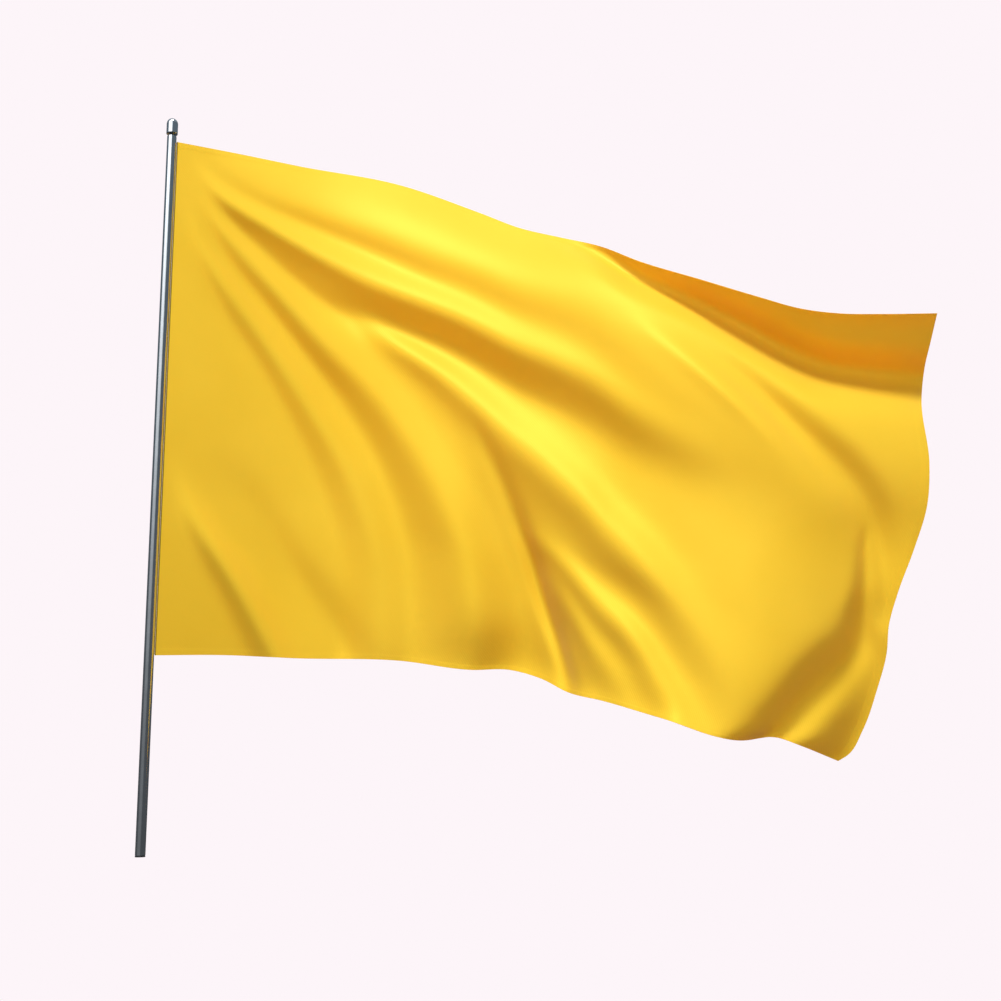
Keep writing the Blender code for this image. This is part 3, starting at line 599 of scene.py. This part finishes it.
def make_floor():
    """A floor in the backdrop's colour, which neither lights nor shades the object."""
    bpy.ops.mesh.primitive_plane_add(size=FLOOR_SIZE, location=(0.0, 0.0, -FLOOR_DROP))
    floor = bpy.context.object
    floor.name = "floor"
    made = Surface("floor")
    glow = made.add("ShaderNodeEmission", {"Color": (*PALE, 1.0), "Strength": 1.0})
    made.feed(made.output.inputs["Surface"], glow.outputs[0])
    floor.data.materials.append(made.material)
    floor.visible_diffuse = False
    floor.visible_glossy = False
    floor.visible_shadow = False


def make_world():
    """Three skies in one: what the camera sees, what lights the cloth, and what the metal mirrors."""
    world = bpy.data.worlds.new("studio")
    bpy.context.scene.world = world
    world.use_nodes = True
    made = Nodes(world.node_tree)
    made.tree.nodes.clear()
    way = made.add("ShaderNodeTexCoord").outputs["Generated"]
    height = made.add("ShaderNodeSeparateXYZ", {0: way}).outputs["Z"]
    level = made.add("ShaderNodeVectorMath", {0: way, 1: (1.0, 1.0, 0.0)}, operation="MULTIPLY")
    heading = made.add("ShaderNodeVectorMath", {0: level.outputs[0]}, operation="NORMALIZE")
    facing = made.add(
        "ShaderNodeVectorMath", {0: heading.outputs[0], 1: SOFTBOX_HEADING},
        operation="DOT_PRODUCT",
    ).outputs["Value"]
    walls = made.ramp(
        made.math("MULTIPLY_ADD", height, 0.5, 0.5),
        (0.40, (0.054, 0.058, 0.060)), (0.52, (0.074, 0.080, 0.087)),
        (0.72, (0.10, 0.13, 0.155)), (1.0, (0.30, 0.34, 0.38)),
    )
    rise = made.ramp(
        height,
        (0.0, 0.045), (0.07, 0.07), (0.20, 0.22), (0.34, 0.52), (0.44, 1.0), (0.60, 1.0), (0.9, 0.3),
    )
    sweep = made.ramp(made.math("MULTIPLY_ADD", facing, 0.5, 0.5), (0.868, 0.0), (0.948, 1.0))
    box = made.math("MULTIPLY", made.math("MULTIPLY", rise, sweep), SOFTBOX_POWER)
    mirrored = made.add("ShaderNodeVectorMath", {0: walls, 1: box}, operation="ADD").outputs[0]
    path = made.add("ShaderNodeLightPath")
    seen = made.add("ShaderNodeBackground", {"Color": (*PALE, 1.0)})
    lit = made.add("ShaderNodeBackground", {"Color": (*AMBIENT, 1.0)})
    glossy = made.add("ShaderNodeBackground", {"Color": mirrored})
    indoors = made.add("ShaderNodeMixShader", {
        0: path.outputs["Is Glossy Ray"], 1: lit.outputs[0], 2: glossy.outputs[0],
    })
    whole = made.add("ShaderNodeMixShader", {
        0: path.outputs["Is Camera Ray"], 1: indoors.outputs[0], 2: seen.outputs[0],
    })
    made.add("ShaderNodeOutputWorld", {"Surface": whole.outputs[0]})


def add_light(name, place, target, size, energy, colour=(1.0, 1.0, 1.0), glossy=True):
    """A rectangular light that faces its target, in metres and watts."""
    data = bpy.data.lights.new(name, "AREA")
    data.shape = "RECTANGLE"
    data.size, data.size_y = size
    data.energy = energy
    data.color = colour
    light = bpy.data.objects.new(name, data)
    bpy.context.collection.objects.link(light)
    light.location = place
    light.rotation_euler = (Vector(target) - Vector(place)).to_track_quat("-Z", "Y").to_euler()
    light.visible_glossy = glossy


def make_camera():
    """The camera that sees the flag from below its middle."""
    data = bpy.data.cameras.new("camera")
    data.lens = EYE_LENS
    camera = bpy.data.objects.new("camera", data)
    bpy.context.collection.objects.link(camera)
    camera.matrix_world = (
        Matrix.Translation(EYE)
        @ Matrix.Rotation(math.pi / 2 + EYE_PITCH, 4, "X")
        @ Matrix.Rotation(EYE_ROLL, 4, "Z")
    )
    bpy.context.scene.camera = camera


def finish_frame():
    """Give each CAD piece that stays its own worked material."""
    polished = metal_material("pole_metal", (0.80, 0.84, 0.88), 0.10, 0.20)
    bright = metal_material("cap_metal", (0.86, 0.90, 0.94), 0.08, 0.16)
    turned = metal_material("neck_metal", (0.70, 0.72, 0.75), 0.15, 0.30)
    spring = metal_material("spring_steel", (0.25, 0.26, 0.28), 0.25, 0.45)
    sintered = metal_material("bush_metal", (0.52, 0.52, 0.51), 0.30, 0.50)
    looks = {
        "pole_tube": polished,
        "cap_sleeve": bright,
        "cap_dome": bright,
        "neck_spindle": turned,
        "cord_stop": turned,
        "retaining_clip": spring,
        "stop_screw": spring,
        "cap_bush": sintered,
        "thrust_washer": sintered,
        "foot_plug": plastic_material(),
    }
    for node, material in looks.items():
        for slot in frame["nodes"][node].material_slots:
            slot.material = material


bpy.context.scene.view_settings.view_transform = "Standard"
make_camera()
make_world()
make_floor()
add_light(
    "key", place=(-0.2, -3.0, 5.9), target=(0.6, 0.0, 0.7), size=(1.4, 1.4), energy=432.0,
    colour=(1.0, 1.0, 0.98),
)
add_light(
    "back", place=(0.8, 0.60, 1.85), target=(0.85, 0.08, 0.95), size=(0.5, 0.3), energy=14.0,
    colour=(1.0, 0.97, 0.92), glossy=False,
)
add_light(
    "fill", place=(0.6, -4.0, 1.0), target=(0.6, 0.0, 0.6), size=(3.0, 2.0), energy=60.0,
    glossy=False,
)
finish_frame()
flag, heading = make_flag()
tape = make_tape()
rope = make_rope()
